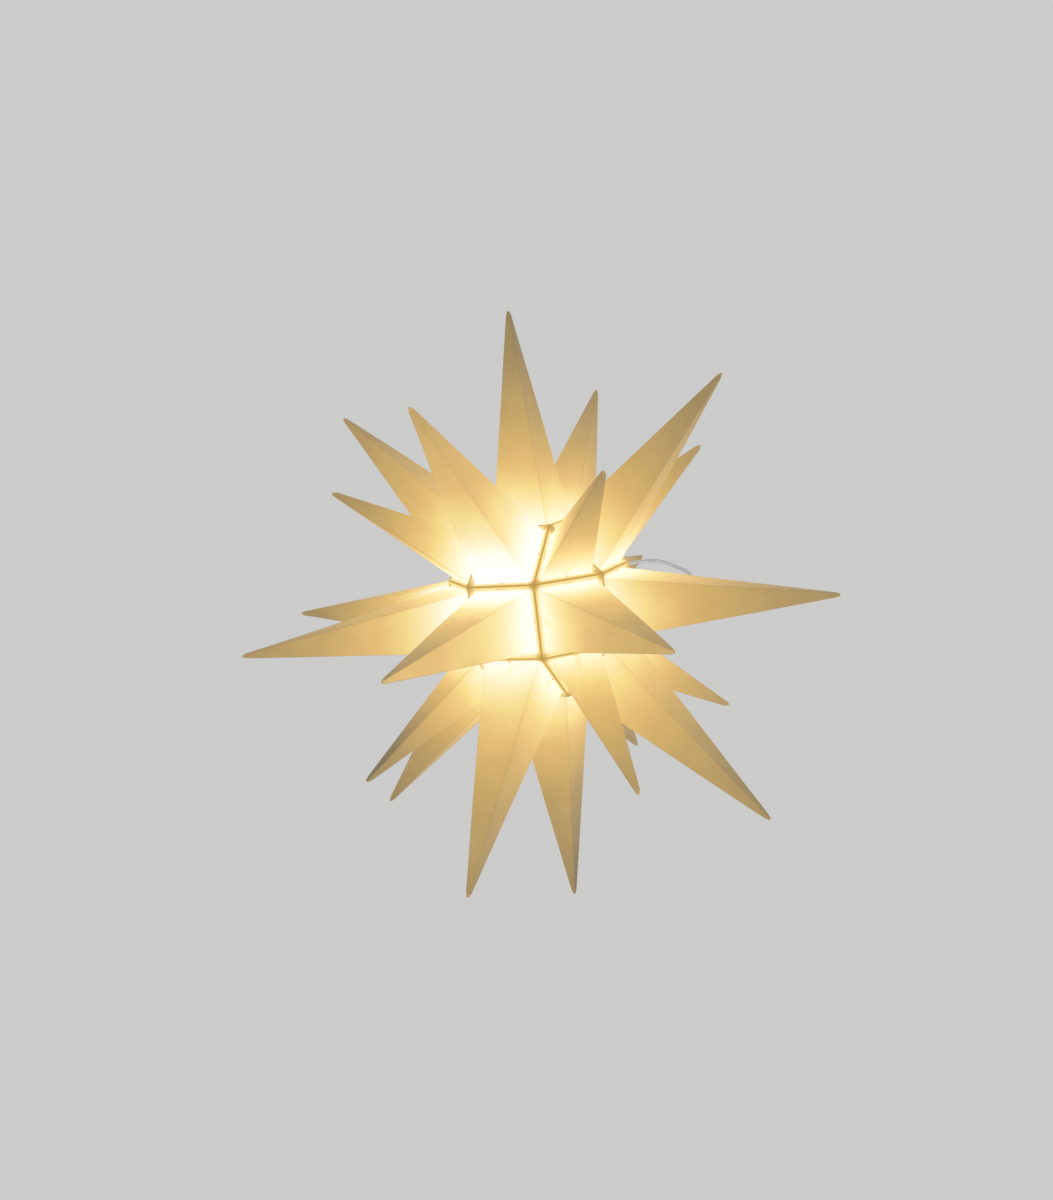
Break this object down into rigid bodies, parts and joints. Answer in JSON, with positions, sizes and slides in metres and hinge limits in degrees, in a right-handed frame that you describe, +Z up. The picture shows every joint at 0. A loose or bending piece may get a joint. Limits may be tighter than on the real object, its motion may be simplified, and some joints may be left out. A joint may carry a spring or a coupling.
{
  "type": "hanging star lantern",
  "caption": "Hanging star lantern of hollow translucent points on a many-sided core, with a push-fit lid carrying a wire bail, cable gland, screw lampholder and lamp.",
  "frame": {"origin": "underside of the top of the bail, where a hook carries the lantern", "axes": "+Z up through the middle of the lid, +X towards the long points that the tabs of the lid grip, +Y along the pivot of the bail"},
  "size_m": [0.4, 0.4, 0.342],
  "materials": {
    "point_shell": "translucent warm-white moulding, satin, lit from inside",
    "lid_plastic": "satin",
    "steel_wire": "drawn wire, satin",
    "gland_plastic": "moulded, satin",
    "rubber": "matt",
    "holder_plastic": "moulded, semi-gloss",
    "block_plastic": "matt black",
    "brass": "stamped, satin",
    "tinned_metal": "rolled, satin",
    "lamp_plastic": "smooth, satin",
    "board": "smooth",
    "globe_plastic": "frosted, lit from inside"
  },
  "bodies": {
    "hanger": {"bail": "steel_wire"},
    "lid": {"lid": "lid_plastic", "gland_body": "gland_plastic", "gland_seal": "rubber", "gland_lock_nut": "gland_plastic", "lampholder_cap": "holder_plastic", "lampholder_skirt": "holder_plastic", "lampholder_contact_block": "block_plastic", "terminal_screw_1": "brass", "terminal_screw_2": "brass", "lampholder_thread": "brass", "lampholder_centre_contact": "brass"},
    "star": {"long_point_01": "point_shell", "long_point_02": "point_shell", "long_point_03": "point_shell", "long_point_04": "point_shell", "long_point_05": "point_shell", "long_point_06": "point_shell", "long_point_07": "point_shell", "long_point_08": "point_shell", "long_point_09": "point_shell", "long_point_10": "point_shell", "long_point_11": "point_shell", "long_point_12": "point_shell", "long_point_13": "point_shell", "long_point_14": "point_shell", "long_point_15": "point_shell", "long_point_16": "point_shell", "long_point_17": "point_shell", "short_point_1": "point_shell", "short_point_2": "point_shell", "short_point_3": "point_shell", "short_point_4": "point_shell", "short_point_5": "point_shell", "short_point_6": "point_shell", "short_point_7": "point_shell", "short_point_8": "point_shell"},
    "lamp_lift": {"lamp_contact_stud": "tinned_metal"},
    "lamp": {"lamp_contact_insulator": "block_plastic", "lamp_screw_cap": "tinned_metal", "lamp_housing": "lamp_plastic", "lamp_led_board": "board", "lamp_globe": "globe_plastic"},
    "gland_lift": {"gland_clamp_ring": "gland_plastic"},
    "gland_turn": {"gland_nut": "gland_plastic"}
  },
  "joints": [
    {"name": "bail_swing", "type": "hinge", "parent": "hanger", "child": "lid", "pos_m": [0, 0, -0.0507], "axis": [0, 1, 0], "range_deg": [-50, 50]},
    {"name": "star_off_lid", "type": "slide", "parent": "lid", "child": "star", "axis": [0, 0, -1], "range_m": [0, 0.115]},
    {"name": "lamp_lift", "type": "slide", "parent": "lid", "child": "lamp_lift", "axis": [0, 0, -1], "range_m": [0, 0.0141]},
    {"name": "lamp_unscrew", "type": "hinge", "parent": "lamp_lift", "child": "lamp", "pos_m": [0, 0, -0.1023], "axis": [0, 0, -1], "range_deg": [0, 1801]},
    {"name": "gland_lift", "type": "slide", "parent": "lid", "child": "gland_lift", "axis": [0, 0, 1], "range_m": [0, 0.0045]},
    {"name": "gland_nut_turn", "type": "hinge", "parent": "gland_lift", "child": "gland_turn", "pos_m": [0, 0, -0.0466], "axis": [0, 0, 1], "range_deg": [0, 1081]}
  ],
  "couplings": [
    {"joint": "lamp_unscrew", "follows": "lamp_lift", "rad_per_m": 2228.1},
    {"joint": "gland_nut_turn", "follows": "gland_lift", "rad_per_m": 4188.8}
  ]
}
